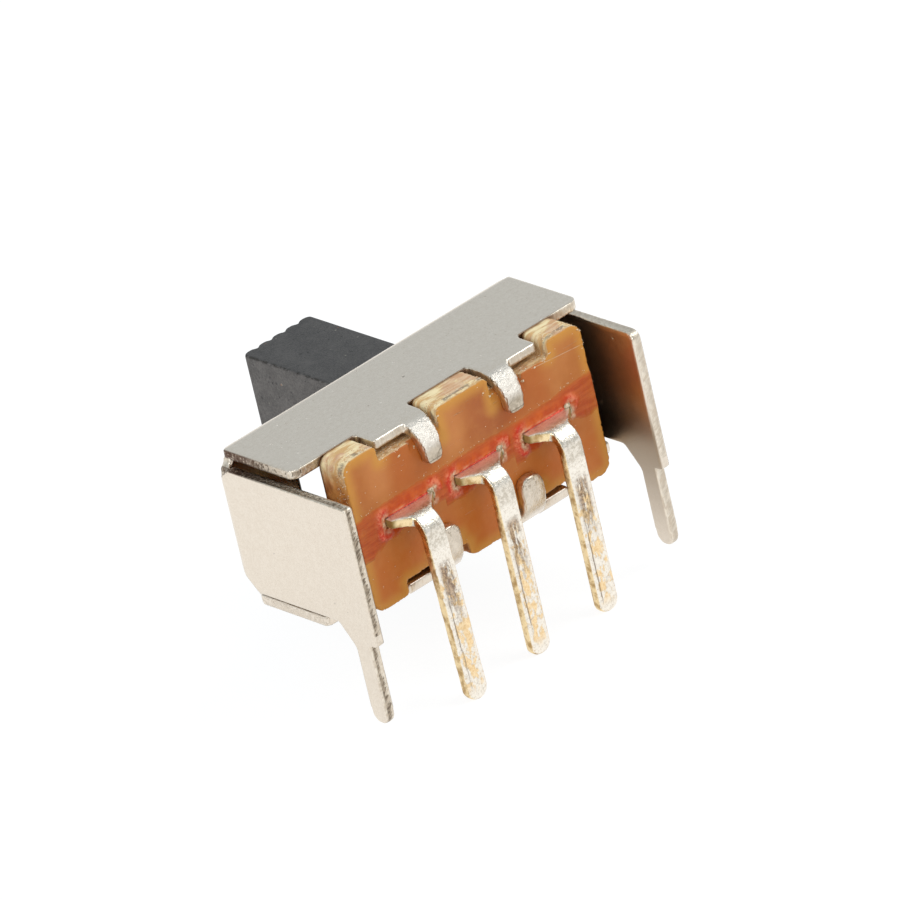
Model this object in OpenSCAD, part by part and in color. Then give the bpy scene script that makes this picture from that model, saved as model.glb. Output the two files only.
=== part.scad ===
// Miniature slide switch: one pole, two positions, three solder pins in a row.
// A folded metal frame stands on the circuit board at Z = 0, with its two legs
// and the pins reaching below it. +X runs along the slider's travel, the knob
// points along -Y, and the terminals leave through the base board towards +Y.
// The origin is the middle of the frame's bottom plate. Millimetres.

/* [Frame] */
// Length over the outer faces of the two end plates
frame_l = 8.6; // [8.2:0.1:11]
// Depth of the top and bottom plates, from the front face to their rear edge
frame_d = 2.53; // [2.3:0.01:3.2]
// Height over the top and bottom plates
frame_h = 3.75; // [3.6:0.05:4.6]
// Thickness of the frame's sheet metal
sheet_t = 0.25; // [0.2:0.01:0.3]
// Inner radius of the frame's long folds and end bends
bend_r = 0.04; // [0.02:0.01:0.1]
// Outer radius of the long folds, where the sheet is drawn thinner
fold_r = 0.38; // [0.3:0.01:0.42]
// Radius of the relief notch at each end of the top fold
relief_r = 0.33; // [0.25:0.01:0.33]
// Step from an end plate's outer face to the end of the top and bottom plates
plate_step = 0.14; // [0.1:0.01:0.22]
// How far the top plate's ends are set over towards -X
top_shift = 0.02; // [0:0.01:0.06]
// Corner radius at the rear ends of the top plate
plate_corner_r = 0.22; // [0.05:0.01:0.3]
// Corner radius at the rear ends of the bottom plate
low_corner_r = 0.08; // [0.05:0.01:0.3]

/* [End plates and legs] */
// Open gap between the top plate and the end plate's upper edge
side_gap_top = 0.17; // [0.08:0.01:0.3]
// Open gap between the bottom plate and the end plate's lower edge
side_gap_low = 0.12; // [0.08:0.01:0.3]
// How far the end plates reach behind the base board
side_reach = 0.9; // [0.75:0.05:1.5]
// Corner cut beside the end bend, at the top
side_cut_top = 0.25; // [0.1:0.01:0.4]
// Corner cut beside the end bend, at the bottom
side_cut_low = 0.35; // [0.1:0.01:0.5]
// Radius of the upper rear corner of the +X end plate
left_corner_r = 0.08; // [0.05:0.01:0.3]
// Radius of the upper rear corner of the -X end plate
right_corner_r = 0.2; // [0.05:0.01:0.3]
// Width of a frame leg
leg_w = 0.5; // [0.4:0.02:0.7]
// Distance from the board's rear face to the middle of a leg
leg_set = 0.43; // [0.3:0.01:0.55]
// How far the legs reach below the seat
leg_drop = 1.96; // [1:0.01:3.5]
// Corner radius at the foot of a leg
leg_tip_r = 0.24; // [0.05:0.01:0.3]
// Distance from the board's rear face forward to the slope that runs into a leg
heel_set = 0.23; // [0.1:0.01:0.4]
// Depth below the seat at which that slope meets the leg's front edge
heel_drop = 0.15; // [0:0.01:0.3]

/* [Tongues and tabs] */
// Distance from the middle of the switch to the middle of a tongue
tongue_x = 1.61; // [1.5:0.01:1.8]
// Width of a tongue
tongue_w = 1.48; // [1.2:0.02:1.6]
// How far a tongue's plain end reaches behind the plate's edge
tongue_l = 0.62; // [0.45:0.01:0.75]
// Width of a top tab at its root
top_tab_root = 0.64; // [0.5:0.01:0.8]
// Width of a top tab at its tip
top_tab_tip = 0.42; // [0.3:0.01:0.5]
// How far a top tab reaches down from the top plate's outer face
top_tab_drop = 1.0; // [0.85:0.01:1.05]
// Corner radius at the tip of a top tab
top_tab_r = 0.12; // [0.05:0.01:0.14]
// Width of a bottom tab
low_tab_w = 0.62; // [0.5:0.01:0.7]
// Corner radius at the tip of a bottom tab
low_tab_r = 0.24; // [0.05:0.01:0.24]
// Distance between the middle of the switch and the middle of a bottom tab
low_tab_x = 1.2; // [1.15:0.01:1.4]
// How far both bottom tabs are set over towards +X
low_tab_shift = 0.08; // [0:0.01:0.1]
// How far a bottom tab reaches up from the bottom plate's outer face
low_tab_rise = 1.22; // [1.1:0.01:1.3]
// Inner radius of the tabs' bends
tab_bend_r = 0.45; // [0.3:0.01:0.5]

/* [Base board] */
// Width of the base board
board_w = 6.9; // [6.6:0.1:7.8]
// Thickness of the base board
board_t = 0.8; // [0.6:0.05:1.2]
// Height of the board's lower edge above the seat
board_foot = 0.12; // [0.05:0.01:0.25]
// Corner radius of the base board
board_corner_r = 0.3; // [0.1:0.02:0.5]
// Corner radius beside the notches
lobe_r = 0.13; // [0.05:0.01:0.2]
// Clearance of a notch to each side of a tongue
notch_fit = 0.12; // [0.05:0.01:0.2]
// Clearance between a top tongue and the floor of its notch
notch_gap = 0.12; // [0.05:0.01:0.3]
// Clearance between a bottom tongue and the floor of its notch
low_notch_gap = 0.22; // [0.05:0.01:0.3]

/* [Terminals] */
// Distance between neighbouring terminals, which is also the slider's travel
pitch = 2.0; // [1.9:0.02:2.2]
// Thickness of the terminal strip
terminal_t = 0.22; // [0.18:0.01:0.3]
// Width of a terminal where it passes through the board
blade_w = 1.35; // [1.1:0.05:1.5]
// Height of the blades' middle above the middle of the frame
blade_rise = 0.09; // [0:0.01:0.2]
// How far a blade reaches in front of the board
blade_reach = 1.05; // [0.85:0.05:1.15]
// Length of the full width behind the board, on a terminal's +X side
stub_left = 0.2; // [0.04:0.01:0.3]
// Length of the full width behind the board, on a terminal's -X side
stub_right = 0.04; // [0.02:0.01:0.3]
// Distance from the board to the place where the shoulders end in the pin
neck_l = 0.45; // [0.35:0.01:0.55]
// Width of a solder pin
pin_w = 0.55; // [0.4:0.01:0.7]
// Inner radius of the terminals' bends
pin_bend_r = 0.33; // [0.1:0.01:0.4]
// Distance from the board's rear face to the outer face of a pin
pin_set = 0.76; // [0.7:0.01:1]
// How far the pins reach below the seat
pin_drop = 2.41; // [1:0.01:4]
// Corner radius at a pin's tip
pin_tip_r = 0.24; // [0.1:0.01:0.24]
// Outward lean of the left pin, in degrees, as handling has left it
left_lean = 2.5; // [0:0.5:5]
// Clearance around a blade in its board slot
slot_fit = 0.02; // [0.01:0.005:0.05]

/* [Slider] */
// Width of the knob along the travel
knob_w = 1.96; // [1.4:0.02:2.2]
// Height of the knob
knob_h = 1.9; // [1.4:0.05:2.1]
// How far the knob stands out of the frame's front face
knob_l = 4.13; // [1.5:0.01:8]
// Number of grip ridges on the knob's end
ridges = 5; // [3:1:7]
// Height of the grip ridges
ridge_h = 0.1; // [0.04:0.01:0.16]
// Edge radius along the knob
knob_r = 0.05; // [0.02:0.01:0.2]
// Thickness of the slider's flange
flange_t = 0.44; // [0.3:0.02:0.6]
// Free length between the flange and an end plate at the end of the travel
flange_gap = 0.22; // [0.05:0.01:0.3]
// Free length between the knob and the slot's end at the end of the travel
slot_gap = 0.37; // [0.1:0.01:0.4]
// Clearance of the knob in the height of the slot
knob_fit = 0.08; // [0.03:0.01:0.15]
// Running clearance of the flange between the frame's top and bottom plates
flange_fit = 0.05; // [0.02:0.01:0.1]
// Running clearance between the flange and the frame's front plate
flange_play = 0.02; // [0.01:0.01:0.05]
// Corner radius of the flange
flange_r = 0.15; // [0.05:0.01:0.3]
// Thickness of the cheeks that hold the contact clip
cheek_w = 0.53; // [0.3:0.01:0.7]
// Clearance between the cheeks and the ends of the blades
cheek_gap = 0.06; // [0.03:0.01:0.2]

/* [Contact clip] */
// Thickness of the spring strip
clip_t = 0.12; // [0.08:0.01:0.15]
// Width of the clip along the travel
clip_w = 1.9; // [1.6:0.02:2]
// Height over the clip's web
clip_h = 1.0; // [0.8:0.02:1.3]
// Length of the straight contact faces
clip_land = 0.3; // [0.2:0.02:0.4]
// Rise of the flared lead-in at the ends of the arms
clip_flare = 0.13; // [0.05:0.01:0.2]
// Length of the flared lead-in
clip_flare_l = 0.25; // [0.15:0.01:0.3]
// Distance from the arms' ends to the base board
clip_back = 0.2; // [0.1:0.01:0.3]
// Running clearance between a contact face and the blades
clip_fit = 0.02; // [0.01:0.005:0.03]
// Depth of the detent ridge that drops between two blades
detent_h = 0.05; // [0.03:0.005:0.06]
// Side clearance of the clip between the cheeks
cheek_fit = 0.02; // [0.01:0.005:0.05]

/* [Sealing lacquer] */
// Thickness of the lacquer film on the base board
film_t = 0.04; // [0.02:0.01:0.06]
// Height of the lacquer band
film_h = 1.2; // [0.8:0.05:1.25]

/* [Hidden] */
$fn = 48;

over = 0.1;                                  // how far a cutting tool overshoots
edge_r = 0.03;                               // small corner radius of cut edges
corner_r = 0.08;                             // larger one
hip_r = 0.25;                                // where the slope runs into a leg
front_y = -frame_d / 2;                      // frame's front face
plate_y = frame_d / 2;                       // rear edge of the top and bottom plates
board_y = plate_y + board_t;                 // board's rear face
mid_z = frame_h / 2;
blade_z = mid_z + blade_rise;
half_l = frame_l / 2;
plate_half = half_l - plate_step;
relief_y = front_y + sheet_t + low_corner_r; // front ends of the bottom plate
out_r = bend_r + sheet_t;                    // outer radius of the frame's bends
side_top = frame_h - sheet_t - side_gap_top;
side_low = sheet_t + side_gap_low;
side_y = board_y + side_reach;
leg_y = board_y + leg_set;
foot_r = min(leg_tip_r, 0.48 * leg_w);       // a foot is never more than half round
tongue_in = tongue_x - tongue_w / 2;
tongue_out = tongue_x + tongue_w / 2;
tongue_end = plate_y + tongue_l;
root_r = notch_fit - 0.02;                   // fillet beside a tongue, inside its notch
tab_out_r = tab_bend_r + sheet_t;
tab_axis_y = board_y - tab_bend_r;           // a tab's inner face lies on the board
tab_axis_z = frame_h - tab_out_r;            // for the top tabs; the bottom ones mirror it
top_tab_x = tongue_in + top_tab_root / 2;
low_tab_in = low_tab_x - low_tab_shift - low_tab_w / 2;
notch_floor = frame_h - sheet_t - notch_gap;
low_notch_floor = sheet_t + low_notch_gap;
pin_y = board_y + pin_set;                   // outer face of the pins
pin_out_r = pin_bend_r + terminal_t;
blade_top = blade_z + terminal_t / 2;
pin_l = blade_top + pin_drop;                // length of strip that the pins are cut from
inside_y = plate_y - blade_reach;            // inner ends of the blades
flange_y = front_y + sheet_t + flange_play;  // flange's front face
flange_back = flange_y + flange_t;
flange_half = half_l - sheet_t - pitch / 2 - flange_gap;
slot_half = pitch / 2 + knob_w / 2 + slot_gap;
rest_x = -pitch / 2;                         // slider's middle at rest
ridge_pitch = knob_w / ridges;
ridge_r = (pow(ridge_pitch / 2, 2) + pow(ridge_h, 2)) / (2 * ridge_h);
clip_face = terminal_t / 2 + clip_fit;       // contact face, from the blades' middle
clip_end = plate_y - clip_back;              // tips of the clip's arms
cheek_h = clip_h + 2 * cheek_w;

// ---- outlines ----

function unit(v) = v / norm(v);
function direction(v) = atan2(v.y, v.x);
function turn(a) = a > 180 ? a - 360 : a < -180 ? a + 360 : a;

// The arc that rounds the corner at b, between the corners a and c
function corner_arc(a, b, c, r, steps) =
    let (u = unit(a - b), v = unit(c - b),
         half = acos(u * v) / 2,
         centre = b + unit(u + v) * r / sin(half),
         from = direction(b + u * r / tan(half) - centre),
         sweep = turn(direction(b + v * r / tan(half) - centre) - from))
    [for (i = [0:steps]) centre + r * [cos(from + sweep * i / steps), sin(from + sweep * i / steps)]];

// An outline from corners [x, y, radius]
function rounded(corners, steps = 8) =
    let (n = len(corners), p = [for (c = corners) [c.x, c.y]])
    [for (i = [0:n - 1]) each corners[i].z > 0
        ? corner_arc(p[(i + n - 1) % n], p[i], p[(i + 1) % n], corners[i].z, steps)
        : [p[i]]];

// Both sides of a strip of thickness t along an open path of points
function side_normal(p, i) =
    let (a = unit(p[i] - p[max(i - 1, 0)] + (i == 0 ? p[1] - p[0] : [0, 0])),
         b = unit(p[min(i + 1, len(p) - 1)] - p[i] + (i == len(p) - 1 ? p[i] - p[i - 1] : [0, 0])),
         m = unit(a + b))
    [-m.y, m.x] / (m * a);
function strip(p, t) =
    concat([for (i = [0:len(p) - 1]) p[i] + side_normal(p, i) * t / 2],
           [for (i = [len(p) - 1:-1:0]) p[i] - side_normal(p, i) * t / 2]);

// ---- directions ----

// A Y-Z outline, extruded along X and centred on x = 0
module along_x(l) rotate([90, 0, 90]) linear_extrude(l, center = true) children();
// An X-Z outline, extruded from y = from to y = to
module along_y(from, to) translate([0, to, 0]) rotate([90, 0, 0]) linear_extrude(to - from) children();
// An X-Y outline, extruded from z = from to z = to
module along_z(from, to) translate([0, 0, from]) linear_extrude(to - from) children();
// The same at both ends of the switch
module both_ends() {
    children();
    mirror([1, 0, 0]) children();
}

// ---- frame ----

// Outline of the channel set in by one inset all round, with its folds' radius r
module channel_outline(inset, r) {
    y = front_y + inset;
    translate([y + r, inset])
        square([tongue_end + (inset > 0 ? over : 0) - y - r, frame_h - 2 * inset]);
    translate([y, inset + r]) square([2 * r, frame_h - 2 * inset - 2 * r]);
    for (z = [inset + r, frame_h - inset - r]) translate([y + r, z]) circle(r);
}

// Corners of the +X half of a plate with its tongue, in plan, from its front
// corners to the place where a tab of width w bends away at x. The plate ends
// at x = end.
function plate_corners(front, end, c, x, w) =
    [each front, [end, plate_y, c],
     [tongue_out, plate_y, root_r], [tongue_out, tongue_end, edge_r],
     [x + w / 2, tongue_end, 0], [x + w / 2, tab_axis_y, 0],
     [x - w / 2, tab_axis_y, 0], [x - w / 2, plate_y, root_r]];

function mirrored(corners) = [for (i = [len(corners) - 1:-1:0]) [-corners[i].x, corners[i].y, corners[i].z]];

// Plan of the top plate, set over at its ends only
module top_plan() {
    ends = [plate_half - top_shift, plate_half + top_shift];
    half = [for (end = ends)
        plate_corners([[end, front_y - over, 0]], end, plate_corner_r, top_tab_x, top_tab_root)];
    polygon(rounded(concat(half[0], mirrored(half[1]))));
}

// Plan of the bottom plate, cut short at its front ends, its tabs set over
module low_plan() {
    front = [[half_l - out_r, front_y - over, 0], [half_l - out_r, relief_y, 0],
             [plate_half, relief_y, low_corner_r]];
    half = [for (s = [1, -1])
        plate_corners(front, plate_half, low_corner_r, low_tab_x + s * low_tab_shift, low_tab_w)];
    polygon(rounded(concat(half[0], mirrored(half[1]))));
}

// Top, front and bottom plates, folded from one strip
module channel() {
    difference() {
        intersection() {
            along_x(2 * half_l) difference() {
                channel_outline(0, fold_r);
                channel_outline(sheet_t, bend_r);
            }
            union() {
                along_z(mid_z, frame_h + over) top_plan();
                along_z(-over, mid_z) low_plan();
            }
        }
        knob_slot();
        both_ends() {
            end_bend_room();
            relief_notch();
        }
    }
}

module knob_slot() {
    h = knob_h / 2 + knob_fit;
    along_y(front_y - over, front_y + sheet_t + over) translate([0, mid_z])
        polygon(rounded([[-slot_half, -h, knob_r], [slot_half, -h, knob_r],
                         [slot_half, h, knob_r], [-slot_half, h, knob_r]]));
}

// Room for the end bend below the ears of the front plate
module end_bend_room() {
    translate([half_l - out_r, front_y - over, sheet_t])
        cube([out_r + over, out_r + over + bend_r, side_top - side_cut_top - sheet_t]);
}

// Round notch that keeps the end of the top fold from tearing
module relief_notch() {
    along_y(front_y - over, front_y + sheet_t) translate([half_l, frame_h - sheet_t]) circle(relief_r);
}

// Plan of one end plate with the bend that joins it to the front plate
module side_plan() {
    translate([half_l - sheet_t, front_y + out_r]) square([sheet_t, side_y - front_y - out_r]);
    translate([half_l - out_r - over, front_y]) square([over, sheet_t]);
    translate([half_l - out_r, front_y + out_r]) intersection() {
        difference() {
            circle(out_r);
            circle(bend_r);
        }
        translate([0, -out_r]) square(out_r);
    }
}

// Side view of an end plate, its corner cuts and its leg
module side_outline(top_r) {
    leg_front = leg_y - leg_w / 2;
    leg_back = leg_y + leg_w / 2;
    polygon(rounded([
        [front_y - over, side_low + side_cut_low, 0],
        [front_y + side_cut_low / 2, side_low + side_cut_low, 0],
        [front_y + side_cut_low * 3 / 2, side_low, edge_r],
        [board_y - heel_set, side_low, corner_r],
        [leg_front, -heel_drop, hip_r],
        [leg_front, -leg_drop, foot_r],
        [leg_back, -leg_drop, foot_r],
        [leg_back, 0, edge_r],
        [side_y, 0, edge_r],
        [side_y, side_top, top_r],
        [front_y + side_cut_top * 7 / 4, side_top, 0],
        [front_y + side_cut_top / 2, side_top - side_cut_top, 0],
        [front_y - over, side_top - side_cut_top, 0]]));
}

module end_plate(top_r) {
    intersection() {
        along_z(-leg_drop - over, frame_h) side_plan();
        translate([half_l, 0, 0]) along_x(2 * out_r + 4 * over) side_outline(top_r);
    }
}

// A plate's strip that turns over the rear edge of the board, outer faces at
// the top and behind, ending at z = tip
module tab_section(tip) {
    translate([plate_y - sheet_t, frame_h - sheet_t])
        square([tab_axis_y - plate_y + sheet_t, sheet_t]);
    translate([tab_axis_y, tab_axis_z]) intersection() {
        difference() {
            circle(tab_out_r);
            circle(tab_bend_r);
        }
        square(tab_out_r);
    }
    translate([board_y, tip]) square([sheet_t, tab_axis_z - tip]);
}

// Tapered tab of the top plate, on the +X side
module top_tab() {
    tip = frame_h - top_tab_drop;
    root = top_tab_root / 2;
    end = top_tab_tip / 2;
    intersection() {
        along_x(2 * half_l) tab_section(tip);
        along_y(0, board_y + sheet_t + over) translate([top_tab_x, 0])
            polygon(rounded([[-root, frame_h + over, 0], [-root, frame_h, 0], [-end, tip, top_tab_r],
                             [end, tip, top_tab_r], [root, frame_h, 0], [root, frame_h + over, 0]]));
    }
}

// Round-cornered tab of the bottom plate, with its middle at x
module low_tab(x) {
    half = low_tab_w / 2;
    intersection() {
        translate([0, 0, frame_h]) mirror([0, 0, 1])
            along_x(2 * half_l) tab_section(frame_h - low_tab_rise);
        along_y(0, board_y + sheet_t + over) translate([x, 0])
            polygon(rounded([[-half, -over, 0], [half, -over, 0],
                             [half, low_tab_rise, low_tab_r], [-half, low_tab_rise, low_tab_r]]));
    }
}

module frame() {
    color("silver") union() {
        channel();
        both_ends() top_tab();
        end_plate(left_corner_r);
        mirror([1, 0, 0]) end_plate(right_corner_r);
        low_tab(low_tab_shift + low_tab_x);
        low_tab(low_tab_shift - low_tab_x);
    }
}

// ---- base board ----

// Right half of the board's outline, from the top middle round to the bottom middle
function board_half() =
    let (x = board_w / 2, low = board_foot, top = frame_h,
         a = tongue_in - notch_fit, b = tongue_out + notch_fit, c = low_tab_in - notch_fit)
    [[a, top, lobe_r], [a, notch_floor, edge_r], [b, notch_floor, edge_r], [b, top, lobe_r],
     [x, top, board_corner_r], [x, low, board_corner_r],
     [b, low, lobe_r], [b, low_notch_floor, edge_r], [c, low_notch_floor, edge_r], [c, low, lobe_r]];

module board_outline() polygon(rounded(concat(board_half(), mirrored(board_half()))));

// The slots that the blades pass through
module blade_slots(h) {
    for (i = [-1:1]) translate([i * pitch, blade_z])
        square([blade_w + 2 * slot_fit, h], center = true);
}

// Edge of a notch, pressed to the inside of a tab's bend
module tab_bed(width) {
    along_x(width) intersection() {
        difference() {
            translate([tab_axis_y, tab_axis_z]) square([tab_bend_r + over, tab_bend_r + over]);
            translate([tab_axis_y, tab_axis_z]) circle(tab_bend_r);
        }
        translate([tab_axis_y, tab_axis_z]) square([tab_bend_r + over, tab_bend_r]);
    }
}

module base_board() {
    color("peru") difference() {
        along_y(plate_y, board_y) difference() {
            board_outline();
            blade_slots(terminal_t + 2 * slot_fit);
        }
        both_ends() translate([top_tab_x, 0, 0]) tab_bed(top_tab_root + 2 * notch_fit);
        for (s = [-1, 1])
            translate([low_tab_shift + s * low_tab_x, 0, frame_h]) mirror([0, 0, 1])
                tab_bed(low_tab_w + 2 * notch_fit);
    }
}

// ---- terminals ----

// Side view: the blade, the bend and the pin, which leans outwards by lean
module terminal_section(lean) {
    axis_y = pin_y - pin_out_r;
    axis_z = blade_top - pin_out_r;
    reach = 2 * pin_out_r;
    translate([inside_y, blade_top - terminal_t]) square([axis_y - inside_y, terminal_t]);
    translate([axis_y, axis_z]) {
        intersection() {
            difference() {
                circle(pin_out_r);
                circle(pin_bend_r);
            }
            polygon([[0, 0], reach * [cos(lean), sin(lean)], [reach, reach], [0, reach]]);
        }
        rotate(lean) translate([pin_bend_r, -pin_l]) square([terminal_t, pin_l]);
    }
}

// Plan: the blade's full width, the shoulders and the width of the pin
module terminal_plan() {
    neck_y = board_y + neck_l;
    polygon([[-blade_w / 2, inside_y], [-blade_w / 2, board_y + stub_right], [-pin_w / 2, neck_y],
             [-pin_w / 2, pin_y + pin_l], [pin_w / 2, pin_y + pin_l],
             [pin_w / 2, neck_y], [blade_w / 2, board_y + stub_left], [blade_w / 2, inside_y]]);
}

// Rear view: only the tip is narrower than the plan
module terminal_front() {
    polygon(rounded([[-pin_w / 2, -pin_drop, pin_tip_r], [pin_w / 2, -pin_drop, pin_tip_r],
                     [pin_w / 2, 0, 0], [blade_w, 0, 0], [blade_w, frame_h, 0],
                     [-blade_w, frame_h, 0], [-blade_w, 0, 0], [-pin_w / 2, 0, 0]]));
}

module terminal(i, lean = 0) {
    color("gainsboro") translate([i * pitch, 0, 0]) intersection() {
        along_x(blade_w) terminal_section(lean);
        along_z(-pin_drop, frame_h) terminal_plan();
        along_y(inside_y, pin_y + pin_l) terminal_front();
    }
}

module terminal_left() terminal(1, left_lean);
module terminal_centre() terminal(0);
module terminal_right() terminal(-1);

// ---- slider ----

// Plan of the knob, its end cut by the grooves between the grip ridges
module knob_plan() {
    root_y = front_y - knob_l + ridge_h;
    translate([-knob_w / 2, root_y]) square([knob_w, flange_y + over - root_y]);
    for (i = [0:ridges - 1])
        intersection() {
            translate([(i + 0.5 - ridges / 2) * ridge_pitch, root_y - ridge_h + ridge_r]) circle(ridge_r);
            translate([-knob_w / 2 + i * ridge_pitch, root_y - ridge_h]) square([ridge_pitch, 2 * ridge_h]);
        }
}

module knob() {
    h = knob_h / 2;
    intersection() {
        along_z(mid_z - h, mid_z + h) knob_plan();
        along_y(front_y - knob_l, flange_y + over) translate([0, mid_z])
            polygon(rounded([[-knob_w / 2, -h, knob_r], [knob_w / 2, -h, knob_r],
                             [knob_w / 2, h, knob_r], [-knob_w / 2, h, knob_r]]));
    }
}

module flange() {
    low = sheet_t + flange_fit;
    high = frame_h - sheet_t - flange_fit;
    along_y(flange_y, flange_back)
        polygon(rounded([[-flange_half, low, flange_r], [flange_half, low, flange_r],
                         [flange_half, high, flange_r], [-flange_half, high, flange_r]]));
}

// The cheeks at both sides of the contact clip
module cheeks() {
    x = clip_w / 2 + cheek_fit;
    h = cheek_h / 2;
    for (s = [-1, 1])
        along_y(flange_back - over, inside_y - cheek_gap)
            translate([s * (x + cheek_w / 2), blade_z])
                polygon(rounded([[-cheek_w / 2, -h, knob_r], [cheek_w / 2, -h, knob_r],
                                 [cheek_w / 2, h, knob_r], [-cheek_w / 2, h, knob_r]]));
}

module slider() {
    color("dimgray") translate([rest_x, 0, 0]) union() {
        knob();
        flange();
        cheeks();
    }
}

// ---- contact clip ----

// Centreline of one arm, from the middle of the web to the flared tip
function clip_arm(s) =
    let (web_y = flange_back + clip_t / 2,
         h = clip_h / 2 - clip_t / 2,
         face = clip_face + clip_t / 2,
         land_y = clip_end - clip_flare_l)
    [[web_y, 0], [web_y, s * (h - clip_t)], [web_y + clip_t / 3, s * (h - clip_t / 3)],
     [web_y + clip_t, s * h],
     [land_y - clip_land, s * face], [land_y, s * face], [clip_end, s * (face + clip_flare)]];

// Ridge that drops between two blades, with a tip angle of 90 degrees
module detent_ridge() {
    land_y = clip_end - clip_flare_l;
    along_y(land_y - clip_land, land_y)
        polygon([[0, clip_face - detent_h], [detent_h + clip_t / 2, clip_face + clip_t / 2],
                 [-detent_h - clip_t / 2, clip_face + clip_t / 2]]);
}

module contact_clip() {
    color("goldenrod") translate([rest_x, 0, blade_z]) union() {
        along_x(clip_w) {
            polygon(strip(clip_arm(1), clip_t));
            polygon(strip(clip_arm(-1), clip_t));
        }
        detent_ridge();
        mirror([0, 0, 1]) detent_ridge();
    }
}

// ---- sealing lacquer ----

module sealing_lacquer() {
    color("firebrick") along_y(board_y, board_y + film_t) difference() {
        translate([-board_w / 2, blade_z - film_h / 2]) square([board_w, film_h]);
        blade_slots(terminal_t + 2 * slot_fit);
    }
}

frame();
base_board();
terminal_left();
terminal_centre();
terminal_right();
slider();
contact_clip();
sealing_lacquer();
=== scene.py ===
# %% [markdown]
# # A miniature slide switch, dressed
#
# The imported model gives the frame, the base board, the terminals, the slider, the clip and the lacquer at
# their real size. This lesson builds finer surfaces around them: rounded sheet metal with sheared edges,
# a fibrous laminate board, a brushed-on lacquer and worn plating. All lengths are metres, and `mm` turns
# a length in millimetres into metres.

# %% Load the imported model
import math

import bmesh
import bpy
import numpy as np
from mathutils import Matrix, Vector, noise
from mathutils.bvhtree import BVHTree


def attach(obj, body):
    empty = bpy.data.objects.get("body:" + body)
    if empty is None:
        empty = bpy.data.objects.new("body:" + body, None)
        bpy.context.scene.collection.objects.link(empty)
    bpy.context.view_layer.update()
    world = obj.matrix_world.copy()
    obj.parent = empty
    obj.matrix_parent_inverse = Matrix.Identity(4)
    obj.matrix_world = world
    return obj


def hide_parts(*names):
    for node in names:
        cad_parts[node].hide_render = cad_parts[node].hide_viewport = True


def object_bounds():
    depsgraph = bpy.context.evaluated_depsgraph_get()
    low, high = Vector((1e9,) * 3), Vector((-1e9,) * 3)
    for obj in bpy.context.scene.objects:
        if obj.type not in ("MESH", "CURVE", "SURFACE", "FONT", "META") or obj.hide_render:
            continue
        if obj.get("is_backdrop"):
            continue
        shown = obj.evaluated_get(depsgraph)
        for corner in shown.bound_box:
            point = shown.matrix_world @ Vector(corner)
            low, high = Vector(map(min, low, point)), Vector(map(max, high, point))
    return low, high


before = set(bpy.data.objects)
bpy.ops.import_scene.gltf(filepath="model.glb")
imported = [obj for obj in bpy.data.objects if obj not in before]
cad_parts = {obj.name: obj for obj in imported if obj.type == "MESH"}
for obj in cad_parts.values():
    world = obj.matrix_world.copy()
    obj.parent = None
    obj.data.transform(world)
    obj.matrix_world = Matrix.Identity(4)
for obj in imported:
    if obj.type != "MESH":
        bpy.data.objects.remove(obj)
cad_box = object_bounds()
mm = 0.001
print("nodes:", ", ".join(sorted(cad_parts)))

# %% [markdown]
# ## Camera
#
# A long lens far away keeps the edges nearly parallel, as in a product shot. The camera looks at the
# middle of the switch from behind, above and to the left, and it is rolled a little, so the switch seems
# to lean.

# %% Camera
AIM = Vector((0.717, 2.21, 2.775)) * mm
CAMERA_AZIMUTH = math.radians(53.866)
CAMERA_ELEVATION = math.radians(26.998)
CAMERA_DISTANCE = 255.5 * mm
CAMERA_ROLL = math.radians(13.286)

back = Vector((math.cos(CAMERA_AZIMUTH) * math.cos(CAMERA_ELEVATION),
               math.sin(CAMERA_AZIMUTH) * math.cos(CAMERA_ELEVATION),
               math.sin(CAMERA_ELEVATION)))
camera_data = bpy.data.cameras.new("camera")
camera_data.lens = 486.07
camera_data.sensor_width = 36
camera_data.clip_start = 0.01
camera_data.clip_end = 20
camera = bpy.data.objects.new("camera", camera_data)
turn = back.to_track_quat("Z", "Y").to_matrix().to_4x4()
roll = Matrix.Rotation(-CAMERA_ROLL, 4, "Z")
camera.matrix_world = Matrix.Translation(AIM + back * CAMERA_DISTANCE) @ turn @ roll
bpy.context.scene.collection.objects.link(camera)
bpy.context.scene.camera = camera
print("camera at", [round(c / mm, 1) for c in camera.matrix_world.translation], "mm")

# %% [markdown]
# ## Node helpers
#
# Every pattern is laid out in millimetres, so a scale of 20 in a texture means features of about a
# twentieth of a millimetre. `make_node` makes a node and fills or links its inputs in one go. A `Value`
# stands for an output that varies over a surface: arithmetic on it adds Math nodes, so each material
# reads like a formula.

# %% Values and nodes
def make_node(tree, kind, inputs=None, **settings):
    """A new node. An input takes a plain value, or a socket or Value to link from."""
    made = tree.nodes.new(kind)
    for key, value in settings.items():
        setattr(made, key, value)
    for key, value in (inputs or {}).items():
        value = getattr(value, "socket", value)
        if isinstance(value, bpy.types.NodeSocket):
            tree.links.new(value, made.inputs[key])
        else:
            made.inputs[key].default_value = value
    return made


def add(tree, kind, inputs=None, **settings):
    return make_node(tree, "ShaderNode" + kind, inputs, **settings)


class Value:
    """A number, colour or vector that varies over a surface."""

    def __init__(self, socket):
        self.socket = socket
        self.tree = socket.id_data

    def __add__(self, other):
        return combine("ADD", self, other)

    def __sub__(self, other):
        return combine("SUBTRACT", self, other)

    def __rsub__(self, other):
        return combine("SUBTRACT", other, self)

    def __mul__(self, other):
        return combine("MULTIPLY", self, other)

    def __truediv__(self, other):
        return combine("DIVIDE", self, other)

    def __abs__(self):
        return combine("ABSOLUTE", self)

    def __lt__(self, other):
        return combine("LESS_THAN", self, other)

    def __gt__(self, other):
        return combine("GREATER_THAN", self, other)

    __radd__ = __add__


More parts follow.
